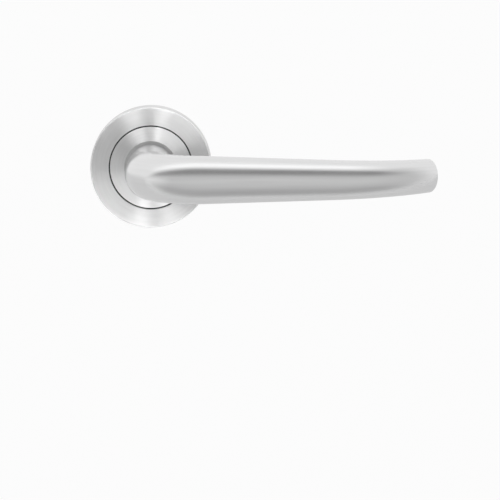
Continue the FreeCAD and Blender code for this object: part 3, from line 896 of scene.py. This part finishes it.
# The surround is white behind the handle. In front it is a studio that is bright above, dark in a band
# between the lamps and the camera, and shaded softly to both sides. Each level stands beside its height in
# degrees, which goes from the floor behind, below and in front, to the ceiling and down behind again.
levels = [(-180, 0.9), (-95, 0.75), (-66, 0.47), (-48, 0.45), (-36, 0.58), (-16, 0.70), (2, 0.73),
          (16, 0.71), (27, 0.28), (44, 0.14), (54, 0.75), (90, 0.80), (122, 0.80), (145, 0.95)]
band_foot = (math.radians(26), math.radians(12))
left_side_reach = (-0.7, -1.0)
left_side_gain = 0.5
right_side_reach = (0.58, 0.88)
right_side_level = 0.66
overhead_rise = (math.radians(48), math.radians(62))
overhead_fall = (math.radians(92), math.radians(78))
overhead_reach = (0.75, 0.25)
overhead_gain = 0.72
white_reach = (-0.35, -0.05)

world = bpy.data.worlds.new("studio")
bpy.context.scene.world = world
world.use_nodes = True
tree = world.node_tree
background = tree.nodes["Background"]
direction = tree.nodes.new("ShaderNodeTexCoord").outputs["Generated"]
split = tree.nodes.new("ShaderNodeSeparateXYZ")
connect(tree, direction, split.inputs[0])
sideways, away, up = split.outputs[0], split.outputs[1], split.outputs[2]
lift = math_node(tree, "ARCTAN2", up, math_node(tree, "MULTIPLY", away, -1.0))
share = math_node(tree, "ADD", math_node(tree, "DIVIDE", lift, 2 * math.pi), 0.5)
ramp = tree.nodes.new("ShaderNodeValToRGB")
connect(tree, share, ramp.inputs[0])
while len(ramp.color_ramp.elements) < len(levels):
    ramp.color_ramp.elements.new(0.5)
for element, (lift_degrees, level) in zip(ramp.color_ramp.elements, levels):
    element.position = (lift_degrees + 180) / 360
    element.color = (level, level, level, 1.0)
below_band = ranged(tree, lift, *band_foot)
left_side = ranged(tree, sideways, *left_side_reach, to_high=left_side_gain)
left_gain = math_node(tree, "ADD", math_node(tree, "MULTIPLY", left_side, below_band), 1.0)
front_level = math_node(tree, "MULTIPLY", ramp.outputs[0], left_gain)
even_right = tree.nodes.new("ShaderNodeMix")
connect(tree, ranged(tree, sideways, *right_side_reach), even_right.inputs[0])
connect(tree, front_level, even_right.inputs[2])
even_right.inputs[3].default_value = right_side_level
overhead = math_node(tree, "MULTIPLY", ranged(tree, lift, *overhead_rise), ranged(tree, lift, *overhead_fall))
overhead_side = ranged(tree, sideways, *overhead_reach, to_high=overhead_gain)
overhead = math_node(tree, "MULTIPLY", overhead, overhead_side)
studio_level = math_node(tree, "ADD", even_right.outputs[0], overhead)
behind = ranged(tree, away, *white_reach)
ray = tree.nodes.new("ShaderNodeLightPath")
shown = math_node(tree, "ADD", ray.outputs["Is Camera Ray"], ray.outputs["Is Transmission Ray"])
mirrored = math_node(tree, "MULTIPLY", ray.outputs["Is Glossy Ray"], behind)
white_share = math_node(tree, "ADD", shown, mirrored, clamp=True)
studio_or_white = tree.nodes.new("ShaderNodeMix")
studio_or_white.data_type = "RGBA"
connect(tree, white_share, studio_or_white.inputs["Factor"])
connect(tree, studio_level, studio_or_white.inputs[6])
studio_or_white.inputs[7].default_value = (1.0, 1.0, 1.0, 1.0)
connect(tree, studio_or_white.outputs[2], background.inputs["Color"])
background.inputs["Strength"].default_value = 1.0

rose_faces = bpy.data.collections.new("rose faces")
for piece in (cover, inner_disc):
    rose_faces.objects.link(piece)

lamp_distance = 1.4
lamp_off_axis = math.radians(42.0)
lamp_height = 0.8
lamps = [("left lamp", -24.0, 0.24, 4.0), ("middle lamp", 13.0, 0.16, 4.6),
         ("right lamp", 45.0, 0.20, 4.4), ("low left lamp", 226.0, 0.20, 4.0),
         ("low middle lamp", 192.0, 0.16, 4.8), ("low right lamp", 164.0, 0.20, 4.6)]


def add_lamp(name, clock, width, watts):
    """A soft rectangular lamp for the rose's faces, clock degrees clockwise from the top."""
    turn = math.radians(clock)
    sideways = math.sin(turn) * math.sin(lamp_off_axis)
    up = math.cos(turn) * math.sin(lamp_off_axis)
    place = Vector((sideways, -math.cos(lamp_off_axis), up))
    light = bpy.data.lights.new(name, "AREA")
    light.shape = "RECTANGLE"
    light.size = width
    light.size_y = lamp_height
    light.energy = watts
    lamp = bpy.data.objects.new(name, light)
    lamp.location = place * lamp_distance
    lamp.rotation_euler = (-place).to_track_quat("-Z", "Y").to_euler()
    bpy.context.scene.collection.objects.link(lamp)
    lamp.light_linking.receiver_collection = rose_faces


for name, clock, width, watts in lamps:
    add_lamp(name, clock, width, watts)

camera_elevation = math.radians(7.8)
camera_distance = 1.5
camera_lens = 251.7
aim = Vector((0.0, -0.010, 0.0))
aim_right_of_middle = 0.04256
aim_below_middle = -0.0354
view_line = Vector((0, math.cos(camera_elevation), -math.sin(camera_elevation)))
view_up = Vector((0, math.sin(camera_elevation), math.cos(camera_elevation)))
camera_data = bpy.data.cameras.new("camera")
camera_data.sensor_width = 36.0
camera_data.lens = camera_lens
camera = bpy.data.objects.new("camera", camera_data)
camera.location = (aim - camera_distance * view_line + Vector((aim_right_of_middle, 0, 0))
                   + aim_below_middle * view_up)
camera.rotation_euler = view_line.to_track_quat("-Z", "Y").to_euler()
bpy.context.scene.collection.objects.link(camera)
bpy.context.scene.camera = camera
bpy.context.scene.view_settings.view_transform = "Standard"
